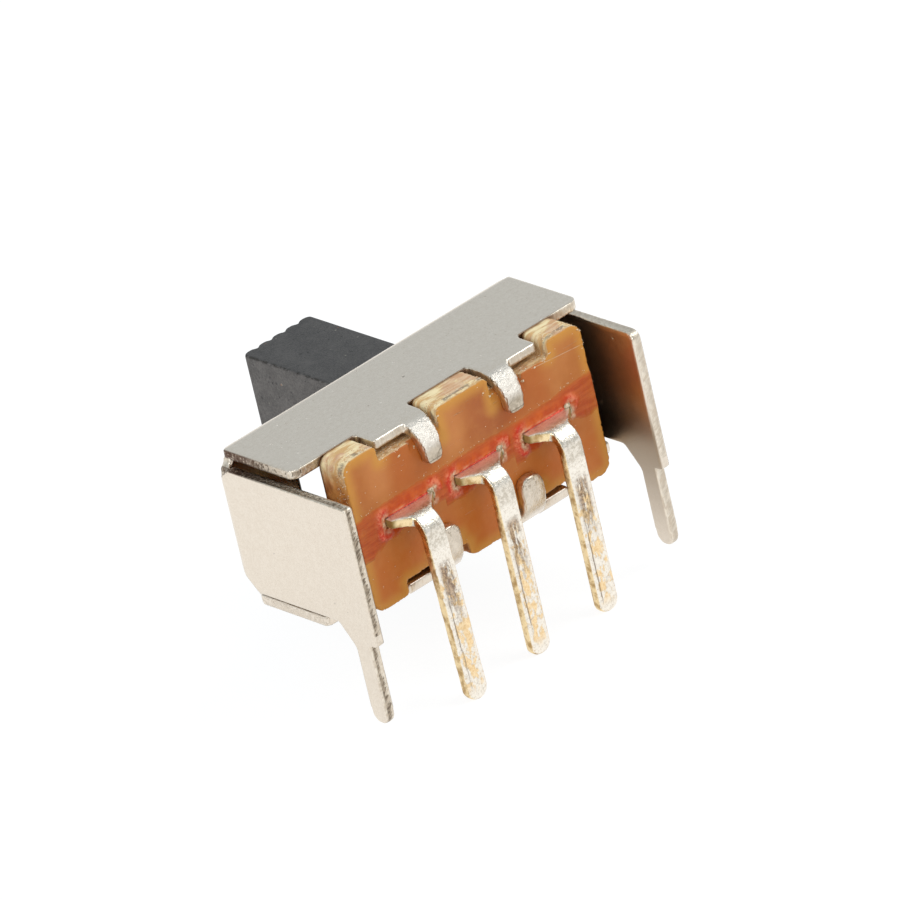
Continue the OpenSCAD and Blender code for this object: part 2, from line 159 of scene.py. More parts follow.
def combine(operation, a, b=0.0):
    """A Math node, or a Vector Math node where b is a vector."""
    tree = (a if isinstance(a, Value) else b).tree
    kind = "VectorMath" if isinstance(b, tuple) else "Math"
    return Value(add(tree, kind, {0: a, 1: b}, operation=operation).outputs[0])


def higher(a, b):
    return combine("MAXIMUM", a, b)


def lower(a, b):
    return combine("MINIMUM", a, b)


def clamped(value):
    """The same value, held between 0 and 1."""
    value.socket.node.use_clamp = True
    return value


def parts(vector):
    return [Value(part) for part in add(vector.tree, "SeparateXYZ", {0: vector}).outputs]


def mix_color(factor, a, b):
    return Value(add(factor.tree, "Mix", {0: factor, 6: a, 7: b}, data_type="RGBA").outputs[2])


def mix_value(factor, a, b):
    return Value(add(factor.tree, "Mix", {0: factor, 2: a, 3: b}, data_type="FLOAT").outputs[0])


def ramp(value, low, high):
    """0 below low, 1 above high, smooth between them."""
    limits = {0: value, 1: low, 2: high}
    return Value(add(value.tree, "MapRange", limits, interpolation_type="SMOOTHSTEP").outputs[0])


def fractal(place, scale, detail=3.0, roughness=0.55, stretch=None):
    """Noise between 0 and 1 with features of 1 / scale millimetres."""
    place = place * stretch if stretch else place
    settings = {"Vector": place, "Scale": scale, "Detail": detail, "Roughness": roughness}
    return Value(add(place.tree, "TexNoise", settings).outputs[0])


def attribute(tree, name):
    return Value(add(tree, "Attribute", attribute_name=name).outputs["Fac"])


def color(r, g, b):
    return (r, g, b, 1.0)


# %% Materials
def empty_tree(owner):
    """The node tree of a material or world, with nothing in it."""
    owner.use_nodes = True
    owner.node_tree.nodes.clear()
    return owner.node_tree


def start_material(name):
    """A material, its tree and its place in millimetres."""
    material = bpy.data.materials.new(name)
    tree = empty_tree(material)
    place = add(tree, "TexCoord").outputs["Object"]
    place = add(tree, "VectorMath", {0: place, "Scale": 1000.0}, operation="SCALE").outputs[0]
    return material, tree, Value(place)


def finish_material(tree, sockets, height, depth):
    """Principled surface; height bumps it by depth millimetres."""
    bump = add(tree, "Bump", {"Height": height, "Distance": depth * mm, "Strength": 1.0})
    surface = add(tree, "BsdfPrincipled", {**sockets, "Normal": bump.outputs[0]})
    add(tree, "OutputMaterial", {"Surface": surface.outputs[0]})


print("one unit in a pattern is", mm, "m")

# %% [markdown]
# ## Light, floor and sky
#
# The sky is a soft gradient, pale at the horizon and greyer overhead, because polished sheet metal shows
# what is around it. The floor is white. Seen by the camera or in a reflection it glows a little, so that
# it stays white and still takes a soft shadow.

# %% Light and sky
def area_light(name, place, size, power):
    data = bpy.data.lights.new(name, "AREA")
    data.shape = "DISK"
    data.size = size
    data.energy = power
    light = bpy.data.objects.new(name, data)
    light.location = Vector(place)
    light.rotation_euler = (Vector(place) - AIM).to_track_quat("Z", "Y").to_euler()
    bpy.context.scene.collection.objects.link(light)
    print(name, "light,", power, "W")


area_light("key", (-0.21, 0.18, 0.29), 0.26, 0.5)
area_light("side", (0.3, 0.16, 0.2), 0.2, 0.3)

SKY_HORIZON = color(0.95, 0.95, 0.95)
SKY_ABOVE = color(0.62, 0.67, 0.71)

world = bpy.data.worlds.new("studio")
bpy.context.scene.world = world
tree = empty_tree(world)
up = parts(Value(add(tree, "TexCoord").outputs["Generated"]))[2]
gradient = add(tree, "ValToRGB", {0: up})
stops = gradient.color_ramp.elements
stops[0].position = 0.05
stops[0].color = SKY_HORIZON
stops[1].position = 0.3
stops[1].color = SKY_ABOVE
sky = add(tree, "Background", {"Color": gradient.outputs["Color"]})
add(tree, "OutputWorld", {0: sky.outputs[0]})

# %% Floor
FLOOR_HALF = 1.0
FLOOR_WHITE = color(0.8, 0.8, 0.8)
FLOOR_SHADE = color(0.22, 0.22, 0.22)
FLOOR_GLOW = 0.85

floor_z = cad_box[0][2]
corners = [(x * FLOOR_HALF, y * FLOOR_HALF, floor_z) for x, y in ((-1, -1), (1, -1), (1, 1), (-1, 1))]
mesh = bpy.data.meshes.new("floor")
mesh.from_pydata(corners, [], [(0, 1, 2, 3)])
floor = bpy.data.objects.new("floor", mesh)
bpy.context.scene.collection.objects.link(floor)
floor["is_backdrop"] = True

material = bpy.data.materials.new("floor")
tree = empty_tree(material)
rays = add(tree, "LightPath").outputs
seen = higher(Value(rays["Is Camera Ray"]), Value(rays["Is Glossy Ray"]))
seen = higher(seen, Value(rays["Is Transmission Ray"]))
white = add(tree, "BsdfDiffuse", {"Color": FLOOR_WHITE})
shade = add(tree, "BsdfDiffuse", {"Color": FLOOR_SHADE})
glow = add(tree, "Emission", {"Strength": FLOOR_GLOW})
glowing = add(tree, "AddShader", {0: shade.outputs[0], 1: glow.outputs[0]})
choice = add(tree, "MixShader", {0: seen, 1: white.outputs[0], 2: glowing.outputs[0]})
add(tree, "OutputMaterial", {"Surface": choice.outputs[0]})
mesh.materials.append(material)

bpy.context.scene.view_settings.view_transform = "Standard"
print("floor at", round(floor_z / mm, 2), "mm")

# %% [markdown]
# ## Shared effects
#
# Small specks of dust, pits and glints come back in most materials, and so does the torn look of a
# sheared edge. Each is a node group with named inputs, so every material can set its own amounts. Specks
# are the cells of a pattern of random points, with their borders warped so that none is quite round.

# %% Shared effects
def new_group(name, inputs, outputs):
    """A group of nodes. Inputs with a default are numbers, the others vectors."""
    group = bpy.data.node_groups.new(name, "ShaderNodeTree")
    for label, value in inputs.items():
        kind = "NodeSocketVector" if value is None else "NodeSocketFloat"
        socket = group.interface.new_socket(label, in_out="INPUT", socket_type=kind)
        if value is not None:
            socket.default_value = value
    for label in outputs:
        kind = "NodeSocketColor" if label == "Color" else "NodeSocketFloat"
        group.interface.new_socket(label, in_out="OUTPUT", socket_type=kind)
    given = group.nodes.new("NodeGroupInput").outputs
    return group, {label: Value(given[label]) for label in inputs}


def end_group(group, **outputs):
    make_node(group, "NodeGroupOutput", outputs)
    print("group:", group.name)


def use(group, **inputs):
    """The outputs, by name, of a group laid into the tree that its place comes from."""
    made = add(inputs["Place"].tree, "Group", inputs, node_tree=group)
    return {out.name: Value(out) for out in made.outputs}


SPECKS, given = new_group("specks", {"Place": None, "Scale": 8.0, "Size": 0.2, "Share": 0.3}, ["Mask"])
warp = add(SPECKS, "TexNoise", {"Vector": given["Place"], "Scale": 30.0, "Detail": 2.0}).outputs[1]
warp = add(SPECKS, "VectorMath", {0: warp, "Scale": 0.04}, operation="SCALE").outputs[0]
warped = add(SPECKS, "VectorMath", {0: given["Place"], 1: warp}, operation="ADD").outputs[0]
cells = add(SPECKS, "TexVoronoi", {"Vector": warped, "Scale": given["Scale"]}).outputs
chance, spread = parts(Value(cells["Color"]))[:2]
near = clamped((given["Size"] * (spread + 0.3) - cells["Distance"]) * 12.0)
end_group(SPECKS, Mask=near * (chance < given["Share"]))

SHEARED, given = new_group("sheared edge", {"Place": None, "Depth": 0.5, "Along": None, "Land": 0.5},
                           ["Tear", "Streak"])
streak = fractal(given["Along"], 1.0, 3.0, 0.6)
wander = streak + fractal(given["Place"], 3.0, 2.0) * 0.6
edge = given["Land"] + (wander - 0.8) * 1.6
torn = ramp(edge - given["Depth"], -0.1, 0.1) * ramp(given["Depth"], 0.1, 0.28)
end_group(SHEARED, Tear=torn * ramp(streak, 0.3, 0.52), Streak=streak)

# %% [markdown]
# ## Fine edges on stamped sheet
#
# A stamped or folded edge is never knife sharp, and a bevel gets stuck on the many short edges of a bend.
# So each rigid piece is rebuilt from fine cells, its cells are relaxed, which rounds every edge and
# leaves flat faces flat, and the flat faces are joined again. Places that wear more are relaxed longer.
#
# The strip is plated before it is stamped, so its faces are bright and its cut edges show bare metal. A
# ray sent into the metal tells them apart: below a plated face the metal ends after one sheet thickness,
# below a cut edge it goes on. Each vertex takes the answer of the nearest face of the solid.

# %% Fine edges
def places_of(mesh):
    """The mesh's vertices in mm."""
    flat = np.empty(len(mesh.vertices) * 3)
    mesh.vertices.foreach_get("co", flat)
    return flat.reshape(-1, 3) / mm


def store(mesh, name, values):
    """Saves one number per vertex for the materials and the scatter trees."""
    made = mesh.attributes.get(name) or mesh.attributes.new(name, "FLOAT", "POINT")
    made.data.foreach_set("value", np.asarray(values, dtype=np.float32))


def dense_copy(node, name, cell):
    """A merged copy of a node's mesh, rebuilt from cells of one size in mm."""
    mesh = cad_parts[node].data.copy()
    mesh.name = name
    mesh.materials.clear()
    mesh.transform(Matrix.Scale(1000, 4))
    piece = bpy.data.objects.new(name, mesh)
    bpy.context.scene.collection.objects.link(piece)
    remesh = piece.modifiers.new("cells", "REMESH")
    remesh.mode = "VOXEL"
    remesh.voxel_size = cell
    mesh = plain(piece)
    mesh.transform(Matrix.Scale(mm, 4))
    return piece


def mark_sheared(piece, node, thickness):
    """Stores 'sheared', 1 on cut edges, and 'inner', 1 on plated faces that look towards the middle."""
    bm = bmesh.new()
    bm.from_mesh(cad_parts[node].data)
    bmesh.ops.remove_doubles(bm, verts=bm.verts, dist=1e-7)
    bmesh.ops.dissolve_limit(bm, angle_limit=math.radians(1), verts=bm.verts, edges=bm.edges)
    bmesh.ops.triangulate(bm, faces=bm.faces)
    tree = BVHTree.FromBMesh(bm)
    middle = sum((Vector(c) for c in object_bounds()), Vector()) / 2
    marks = []
    for face in bm.faces:
        centre = face.calc_center_median()
        distance = tree.ray_cast(centre - face.normal * 1e-6, -face.normal)[3]
        cut = distance is not None and distance > thickness * mm * 1.3
        marks.append((float(cut), float(not cut and face.normal.dot(centre - middle) < 0)))
    nearest = [marks[tree.find_nearest(vert.co)[2]] for vert in piece.data.vertices]
    bm.free()
    for index, label in enumerate(("sheared", "inner")):
        store(piece.data, label, [mark[index] for mark in nearest])


def fine_copy(node, name, cell, passes=2, rounder=None, thickness=None):
    """A copy of a node's solid with rounded edges; rounder(place in mm) picks what is worn rounder."""
    piece = dense_copy(node, name, cell)
    bm = bmesh.new()
    bm.from_mesh(piece.data)
    worn = [v for v in bm.verts if rounder and rounder(v.co / mm)]
    for verts, count in ((list(bm.verts), passes), (worn, 5)):
        for _ in range(count if verts else 0):
            bmesh.ops.smooth_vert(bm, verts=verts, factor=0.5,
                                  use_axis_x=True, use_axis_y=True, use_axis_z=True)
    bmesh.ops.dissolve_limit(bm, angle_limit=math.radians(0.8), verts=bm.verts, edges=bm.edges)
    bm.to_mesh(piece.data)
    bm.free()
    if thickness:
        mark_sheared(piece, node, thickness)
    smooth(piece, 70)
    normals = piece.modifiers.new("flat faces stay flat", "WEIGHTED_NORMAL")
    normals.keep_sharp = True
    plain(piece)
    return piece


def plain(piece):
    """Turns the piece's live modifiers into its mesh."""
    graph = bpy.context.evaluated_depsgraph_get()
    graph.update()
    mesh = bpy.data.meshes.new_from_object(piece.evaluated_get(graph))
    piece.modifiers.clear()
    piece.data = mesh
    return mesh


def smooth(piece, angle=35):
    piece.data.shade_smooth()
    piece.data.set_sharp_from_angle(angle=math.radians(angle))


def own(piece, body, slot, *nodes):
    """Attaches the piece to the body it rides on and hides the solids it stands for; slot is not used."""
    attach(piece, body)
    if nodes:
        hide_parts(*nodes)
    print(piece.name, len(piece.data.polygons), "faces")


# %% [markdown]
# ## The sheet-metal frame
#
# The frame is folded from nickel-plated steel strip. Its faces are satin and speckled with tiny pits, and
# the folded tabs are crinkled where the metal was stretched. The shear leaves a smooth land and a torn,
# darker band on each cut edge. Inside the end plates the plating is painted darker and warmer: painted
# shade low down and a painted reflection of the board higher up.

# %% Frame metal
SHEET_T = 0.25
SHEET_CELL = 0.042
FRAME_L = 8.6
FRAME_H = 3.75
END_PLATE_X = FRAME_L / 2 - SHEET_T
spots = places_of(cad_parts["frame"].data)
TAB_TIP = float(spots[(abs(spots[:, 0]) < 3.0) & (spots[:, 1] > 2.1) & (spots[:, 2] > 1.6), 2].min())
print("the upper tabs end at", round(TAB_TIP, 2), "mm")


def frame_metal():
    material, tree, place = start_material("frame metal")
    x, y, z = parts(place)
    beyond = abs(x) - END_PLATE_X
    in_end = beyond > 0.04
    in_top = 1.0 - in_end
    inside = attribute(tree, "inner") * (beyond > -0.03)
    end_depth = 1.0 - beyond / SHEET_T
    top_depth = (FRAME_H - z) / SHEET_T
    depth = mix_value(in_end, top_depth, end_depth)
    grain = fractal(place, 26.0, 3.0, 0.6)
    mottle = fractal(place, 8.0, 4.0, 0.65)
    # Satin plating with pits, flecks and glints
    pits = use(SPECKS, Place=place, Scale=3.0, Size=0.12, Share=0.3)["Mask"]
    flecks = use(SPECKS, Place=place, Scale=11.0, Size=0.22, Share=0.3)["Mask"]
    glints = use(SPECKS, Place=place, Scale=8.0, Size=0.17, Share=0.3)["Mask"]
    tone = mottle * 0.4 + grain * 0.6
    plate = mix_color(ramp(tone, 0.36, 0.64), color(0.76, 0.67, 0.56), color(0.825, 0.74, 0.63))
    plate = mix_color(flecks * 0.28, plate, color(0.45, 0.36, 0.27))
    plate = mix_color(glints * 0.55, plate, color(1.0, 0.95, 0.86))
    plate = mix_color(pits * 0.6, plate, color(0.3, 0.27, 0.23))
    # Painted shade low inside the end plates, and a painted reflection of the board higher up
    low = ramp(z, -2.6, 1.0) * (1.0 - ramp(z, 0.75, 1.7))
    painted_inner_shade = inside * low
    plate = mix_color(painted_inner_shade, plate, color(0.33, 0.25, 0.175))
    painted_board_reflection = inside * ramp(z, 1.1, 2.0) * (1.0 - ramp(y, 2.82, 2.94))
    plate = mix_color(painted_board_reflection * 0.7, plate, color(0.8, 0.5, 0.28))
    # Folded tabs, crinkled and scuffed, with painted shade along their creases and in a line near their tips
    behind = (beyond < -0.5) * ramp(y, 2.1, 2.2)
    tab = behind * (ramp(z, 1.5, 1.8) * (1.0 - ramp(z, 3.05, 3.3)))
    tab_tone = mix_color(ramp(mottle, 0.38, 0.62), color(0.36, 0.3, 0.22), color(0.59, 0.51, 0.4))
    tab_low = behind * (ramp(z, 0.2, 0.4) * (1.0 - ramp(z, 1.3, 1.4)))
    tab = higher(tab, tab_low * 0.45)
    plate = mix_color(tab * 0.85, plate, tab_tone)
    crease_shade = 1.0 - ramp(abs(fractal(place, 1.5, 1.0) - 0.54), 0.003, 0.012)
    crease_shade = crease_shade * clamped(tab - tab_low)
    above_tip = z - TAB_TIP + mottle * 0.04
    tip_line = (1.0 - ramp(abs(above_tip - 0.115), 0.008, 0.02)) * tab * ramp(z, 1.5, 1.6)
    crease_shade = higher(crease_shade, tip_line * 0.9)
    scuff = ramp(z, 0.9, 1.05) * ramp(mottle, 0.5, 0.58) * (tab_low * 0.8)
    plate = mix_color(scuff, plate, color(0.34, 0.28, 0.21))
    plate = mix_color(crease_shade * 0.65, plate, color(0.12, 0.09, 0.06))
    # Dust, painted shade in the slit at the foot, and a painted highlight on the bend
    dust = use(SPECKS, Place=place, Scale=5.5, Size=0.24, Share=0.5)["Mask"]
    dust = dust * inside * ramp(z, 0.6, 1.2)
    plate = mix_color(dust, plate, color(0.5, 0.38, 0.22))
    slit_shade = SHEET_T + 0.02 + ramp(y, -1.1, 1.15) * 0.06
    slit_shade = (z < slit_shade) * (z > SHEET_T - 0.01)
    slit_shade = slit_shade * (in_end * (abs(y) < 1.22))
    # Painted highlight on the bends of the tabs
    highlit_bend = (beyond < -0.5) * ramp(y, 1.8, 2.05) * ramp(z, 3.0, 3.25)
    plate = mix_color(highlit_bend * 0.6, plate, color(0.95, 0.9, 0.82))
    # Cut edges: streaks, a smooth land and a tear, with painted shade where they face gaps between parts
    end_along = add(tree, "CombineXYZ", {0: x * 5.0, 1: y * 14.0, 2: (z + x * 0.6) * 14.0}).outputs[0]
    either = {0: in_end, 4: place * (15.0, 12.0, 4.0), 5: end_along}
    along = Value(add(tree, "Mix", either, data_type="VECTOR").outputs[1])
    cut = use(SHEARED, Place=place, Depth=depth, Along=along, Land=0.55)
    bare = mix_color(ramp(cut["Streak"], 0.36, 0.62), color(0.6, 0.51, 0.4), color(0.84, 0.76, 0.64))
    torn = cut["Tear"] * mix_value(x > 3.9, 0.3, 0.95)
    fine_lines = ramp(fractal(along, 1.3, 3.0, 0.6), 0.4, 0.6)
    torn_tone = mix_color(fine_lines, color(0.17, 0.13, 0.09), color(0.44, 0.36, 0.27))
    bare = mix_color(torn, bare, torn_tone)
    bottom = (z < SHEET_T + 0.02) * ramp(z, -0.05, 0.0)
    bare = mix_color(bottom, bare, plate)
    # Painted shade on the end plates' top edges, in the gap under the top plate
    upper = in_end * ramp(z, 3.1, 3.3)
    gap_shade = upper * (1.0 - ramp(y, -0.6, 1.1))
    bare = mix_color(gap_shade * ramp(cut["Streak"], 0.3, 0.5), bare, color(0.13, 0.075, 0.05))
    # Painted shade on the top plate's rear edge, in the gap against the board
    rear = in_top * (ramp(z, 3.4, 3.5) * (1.0 - ramp(abs(y - 1.24), 0.04, 0.09)))
    rear = rear * (1.0 - ramp(beyond, -0.8, -0.45))
    bare = mix_color(rear * 0.9, bare, color(0.16, 0.09, 0.05))
    # The two together
    sheared = attribute(tree, "sheared")
    base = mix_color(sheared, plate, bare)
    # Painted shade in the slit under each end plate
    base = mix_color(slit_shade * 0.92, base, color(0.26, 0.17, 0.09))
    shine = 0.12 + grain * 0.14 + inside * 0.16 + tab * 0.12 + highlit_bend * 0.22
    shine = mix_value(sheared, shine, 0.3 + torn * 0.3)
    flat_height = grain * 0.04 + glints * 0.5 - pits
    crinkle = (highlit_bend + tab * 0.5) * mottle
    flat_height = flat_height + crinkle * 5.5 - slit_shade
    height = mix_value(sheared, flat_height, cut["Streak"] - torn)
    metallic = 1.0 - dust * 0.9
    finish_material(tree, {"Base Color": base, "Metallic": metallic, "Roughness": shine}, height, 0.012)
    return material


def frame_worn(place):
    """Tips of the tabs and of the legs."""
    x, y, z = place
    return (y > 2.1 and abs(x) < 3.5) or z < -1.6


sheet = fine_copy("frame", "frame_sheet", SHEET_CELL, 2, frame_worn, SHEET_T)
sheet.data.materials.append(frame_metal())
own(sheet, "housing", "frame_metal", "frame")


# %% [markdown]
# ## The terminals
#
# The terminals are stamped from silvered brass. Their bends are bright, and down the pins the silver has
# worn through: brown scrapes high up, yellow brass further down and fine grooves from the bending tool.
# Each pin has its own wear, laid out from its own middle line.

# %% Terminal metal
TERMINAL_T = 0.22
STRIP_CELL = 0.028
PIN_W = 0.55
PITCH = 2.0


def terminal_metal(name, middle, seed):
    material, tree, place = start_material(name)
    x, y, z = parts(place)
    across = (x - middle) / PIN_W
    moved = place + (0.0, seed * 3.7, seed * 1.3)
    cloud = fractal(moved, 5.0, 4.0, 0.6)
    out = ramp(y, 2.25, 2.5)
    crust = fractal(moved, 20.0, 4.0, 0.7)
    scraped = fractal(moved, 1.0, 5.0, 0.68, (10.0, 5.0, 2.6))
    patches = fractal(moved, 1.0, 5.0, 0.62, (6.5, 4.0, 3.2))
    groove = fractal(moved, 1.0, 2.0, 0.5, (26.0, 2.0, 0.8))
    # Silvered faces
    silver = mix_color(ramp(crust, 0.3, 0.56), color(0.72, 0.65, 0.55), color(0.95, 0.89, 0.79))
    arch = ramp(y, 2.25, 2.45) * ramp(z, 1.15, 1.4)
    arch_tone = mix_color(ramp(fractal(moved, 11.0, 4.0, 0.7), 0.4, 0.6), color(0.53, 0.47, 0.38),
                          color(0.82, 0.76, 0.66))
    silver = mix_color(arch * 0.8, silver, arch_tone)
    # Wear and tool marks down the pin
    centre = 1.0 - ramp(abs(across - 0.02), 0.16, 0.4)
    pin = 1.0 - ramp(z, 0.95, 1.25)
    tip = ramp(z, -2.3, -1.9)
    worn = pin * tip * (1.0 - ramp(z, 0.3, 0.9))
    worn = worn * ramp(patches + centre * 0.1, 0.55, 0.62)
    face = mix_color(worn * 0.85, silver, mix_color(ramp(crust, 0.4, 0.6), color(0.86, 0.58, 0.26),
                                                    color(0.97, 0.74, 0.42)))
    high = ramp(z, -1.0, 0.4) * (1.0 - ramp(z, 0.75, 1.0))
    dark = high * centre * ramp(scraped + high * 0.08, 0.5, 0.58)
    face = mix_color(dark * 0.85, face, mix_color(ramp(crust, 0.4, 0.6), color(0.17, 0.09, 0.05),
                                                  color(0.5, 0.34, 0.2)))
    line = 1.0 - ramp(abs(across - 0.27 + (cloud - 0.5) * 0.12), 0.01, 0.04)
    line = line * (tip * (1.0 - ramp(z, -0.4, 0.5))) * ramp(groove, 0.42, 0.55)
    face = mix_color(line * 0.75, face, color(0.3, 0.2, 0.13))
    flecks = use(SPECKS, Place=moved, Scale=9.0, Size=0.2, Share=0.35)["Mask"]
    face = mix_color(flecks * pin * 0.6, face, color(0.62, 0.42, 0.22))
    # Cut edges of bare brass
    sheared = attribute(tree, "sheared")
    brass = mix_color(ramp(cloud, 0.36, 0.6), color(0.48, 0.31, 0.13), color(0.92, 0.73, 0.43))
    stub = ramp(z, 1.6, 1.75) * (1.0 - ramp(y, 2.26, 2.34))
    brass = mix_color(stub * 0.85, brass, color(0.33, 0.22, 0.055))
    base = mix_color(sheared, face, brass)
    rest = 0.34 - out * 0.22
    shine = mix_value(pin, rest + crust * 0.25, 0.24 + cloud * 0.3)
    relief = 0.02 + out * 0.2
    swell = 0.15 + out * 0.55
    height = crust * relief + cloud * swell
    for mark, amount in ((worn, 0.3), (dark, 0.8), (line, 1.2)):
        height = height - mark * amount
    metallic = 1.0 - stub * (sheared * 0.75)
    finish_material(tree, {"Base Color": base, "Metallic": metallic, "Roughness": shine}, height, 0.02)
    return material


for seed, (node, spot) in enumerate((("terminal_left", 1), ("terminal_centre", 0), ("terminal_right", -1))):
    strip = fine_copy(node, node + "_strip", STRIP_CELL, 2, lambda place: place.y > 2.2, TERMINAL_T)
    strip.data.materials.append(terminal_metal("worn silver " + node, spot * PITCH, seed))
    own(strip, "housing", "terminal_metal", node)


# %% [markdown]
# ## The knob
#
# The slider is moulded in black glass-filled plastic, which dries out to a warm grey with a fine grain.
# It carries light dust and a few coloured fibres. Its rear edge is rubbed and pitted, and its side facing +X
# is painted paler, a painted sheen.

# %% Knob plastic
KNOB_CELL = 0.036


def knob_plastic():
    material, tree, place = start_material("knob plastic")
    facing = parts(Value(add(tree, "NewGeometry").outputs["Normal"]))
    grain = fractal(place, 22.0, 4.0, 0.75)
    cloud = fractal(place, 3.0, 3.0)
    dust = use(SPECKS, Place=place, Scale=5.5, Size=0.16, Share=0.42)["Mask"]
    fibres = use(SPECKS, Place=place, Scale=3.1, Size=0.07, Share=0.3)["Mask"]
    pits = use(SPECKS, Place=place, Scale=8.0, Size=0.22, Share=0.2)["Mask"]
    tone = grain * 0.7 + cloud * 0.3
    base = mix_color(ramp(tone, 0.35, 0.65), color(0.036, 0.034, 0.033), color(0.086, 0.08, 0.075))
    # The side facing +X is painted paler: a painted sheen
    side = ramp(facing[0], 0.4, 0.9)
    base = mix_color(side, base, mix_color(ramp(tone, 0.35, 0.65), color(0.068, 0.061, 0.056),
                                           color(0.16, 0.145, 0.133)))
    base = mix_color(dust * 0.55, base, color(0.36, 0.33, 0.27))
    base = mix_color(fibres * 0.6, base, color(0.5, 0.16, 0.05))
    edge = ramp(facing[0] * facing[2], 0.12, 0.4)
    rubbed = edge * ramp(fractal(place, 9.0, 4.0, 0.7), 0.46, 0.56)
    base = mix_color(rubbed * 0.85, base, color(0.018, 0.013, 0.008))
    base = mix_color(pits * 0.6, base, color(0.012, 0.011, 0.01))
    shine = 0.5 + grain * 0.25
    height = grain - (pits + rubbed)
    finish_material(tree, {"Base Color": base, "Roughness": shine}, height, 0.014)
    return material


knob = fine_copy("slider", "slider_moulding", KNOB_CELL, 2)
knob.data.materials.append(knob_plastic())
own(knob, "actuator", "knob_plastic", "slider")


# %% [markdown]
# ## The contact clip
#
# Inside the housing a small bridge of spring strip rides in the slider and joins two terminals. It is
# pressed from thin plated bronze, so it has a warmer, smoother metal than the pins, and a finer cell
# keeps its folds.

# %% Contact clip
CLIP_CELL = 0.02


def spring_metal():
    material, tree, place = start_material("spring strip")
    cloud = fractal(place, 8.0, 4.0)
    base = mix_color(cloud, color(0.7, 0.45, 0.2), color(0.9, 0.7, 0.4))
    finish_material(tree, {"Base Color": base, "Metallic": 1.0, "Roughness": cloud * 0.5}, cloud, 0.004)
    return material


clip = fine_copy("contact_clip", "clip_strip", CLIP_CELL, 1)
clip.data.materials.append(spring_metal())
own(clip, "actuator", "contact_metal", "contact_clip")

# %% [markdown]
# ## The laminate board
#
# The base board is punched from paper laminate. Punching leaves the wide faces smooth, but tears the
# paper layers at the edges, so these are pale, fibrous and chipped. The board's solid is rebuilt as a
# dense mesh, its edges are roughened along the paper layers, and each vertex learns how far it is from
# the outline.

# %% Laminate board
PLATE_Y = 1.265
BOARD_Y = PLATE_Y + 0.8
BOARD_CELL = 0.032
BLADE_Z = 1.965
SLOT_X = 0.695
SLOT_Z = 0.13
TAB_X = 1.61


def fractal_at(points, scale, octaves=3, offset=0.0):
    """Fractal noise, about -1 to 1, at an array of places in mm; scale is a number or one per axis."""
    places = points * np.array(scale) + offset
    return np.array([noise.fractal(Vector(p), 0.7, 2.0, octaves) for p in places])


def step(values, low, high):
    """Smooth step from 0 at low to 1 at high."""
    t = np.clip((values - low) / (high - low), 0.0, 1.0)
    return t * t * (3 - 2 * t)


def normals_of(mesh):
    flat = np.empty(len(mesh.vertices) * 3)
    mesh.vertices.foreach_get("normal", flat)
    return flat.reshape(-1, 3)


def slot_distance(x, z):
    """Signed distance in mm to the nearest terminal slot, and the place along it from its middle."""
    along = x - PITCH * np.clip(np.round(x / PITCH), -1, 1)
    dx, dz = np.abs(along) - SLOT_X, np.abs(z - BLADE_Z) - SLOT_Z
    outside = np.hypot(np.maximum(dx, 0), np.maximum(dz, 0))
    return outside + np.minimum(np.maximum(dx, dz), 0), along


def outline_distance(mesh, node):
    """Distance in mm of each vertex, seen along Y, to the outline of the node's rear face."""
    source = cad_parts[node].data
    counts = {}
    for poly in source.polygons:
        if poly.normal.y > 0.99 and abs(poly.center.y / mm - BOARD_Y) < 0.01:
            for edge in poly.edge_keys:
                ends = tuple(sorted(tuple(round(c / mm, 4) for c in source.vertices[i].co) for i in edge))
                counts[ends] = counts.get(ends, 0) + 1
    rim = np.array([ends for ends, count in counts.items() if count == 1])[:, :, [0, 2]]
    middle = rim.mean(axis=1)
    rim = rim[slot_distance(middle[:, 0], middle[:, 1])[0] > 0.05]
    here = places_of(mesh)[:, [0, 2]]
    nearest = np.full(len(here), 9.0)
    for start, end in rim:
        way = end - start
        share = np.clip(((here - start) @ way) / max(way @ way, 1e-9), 0, 1)
        nearest = np.minimum(nearest, np.linalg.norm(here - start - share[:, None] * way, axis=1))
    return nearest


def lacquer_top(x):
    """Height of the lacquer's upper border above the slots' middle."""
    wave = np.array([noise.noise(Vector((v * 1.3, 4.0, 0.0))) for v in x])
    return 0.48 + 0.05 * wave + 0.1 * step(-x, 1.6, 3.2) - 0.04 * step(x, 2.4, 3.2)


# %% Board mesh
board = dense_copy("base_board", "board_laminate", BOARD_CELL)
mesh = board.data
here, facing = places_of(mesh), normals_of(mesh)
x, y, z = here.T
inset = outline_distance(mesh, "base_board")
slot, along = slot_distance(x, z)
depth = BOARD_Y - y
edge_face = step(1 - np.abs(facing[:, 1]), 0.25, 0.6) * (slot > 0.05)
layers = fractal_at(here, (4.0, 16.0, 4.0))
rough = fractal_at(here, 11.0, 4, 7.0)
rim = np.exp(-np.hypot(depth, inset) / 0.07) * (slot > 0.08)
push = -0.014 * edge_face * (0.6 + layers)
push = push - 0.022 * rim * step(rough, -0.2, 0.7)
push = push + 0.0015 * rough * (1 - edge_face)
here = here + facing * np.minimum(push, 0.002)[:, None]
mesh.vertices.foreach_set("co", (here * mm).astype(np.float32).ravel())
store(mesh, "inset", inset)
store(mesh, "slot", slot)
store(mesh, "edge", edge_face)
on_face = (depth < 0.04) * (facing[:, 1] > 0.8)
above = z - BLADE_Z - lacquer_top(x)
border = np.exp(-((above - 0.05) / 0.035) ** 2) * step(rough, 0.0, 0.5)
notch = np.exp(-inset / 0.05) * step(z, 3.05, 3.2) * (1 - step(z, 3.55, 3.65))
store(mesh, "crumbs", on_face * (border * 0.7 + 0.004))
store(mesh, "chips", (depth < 0.12) * notch * step(rough, -0.1, 0.4))
store(mesh, "fibres", edge_face * step(-depth, -0.55, -0.1) * step(layers, -0.4, 0.3) * (z > 2.0))
mesh.update()
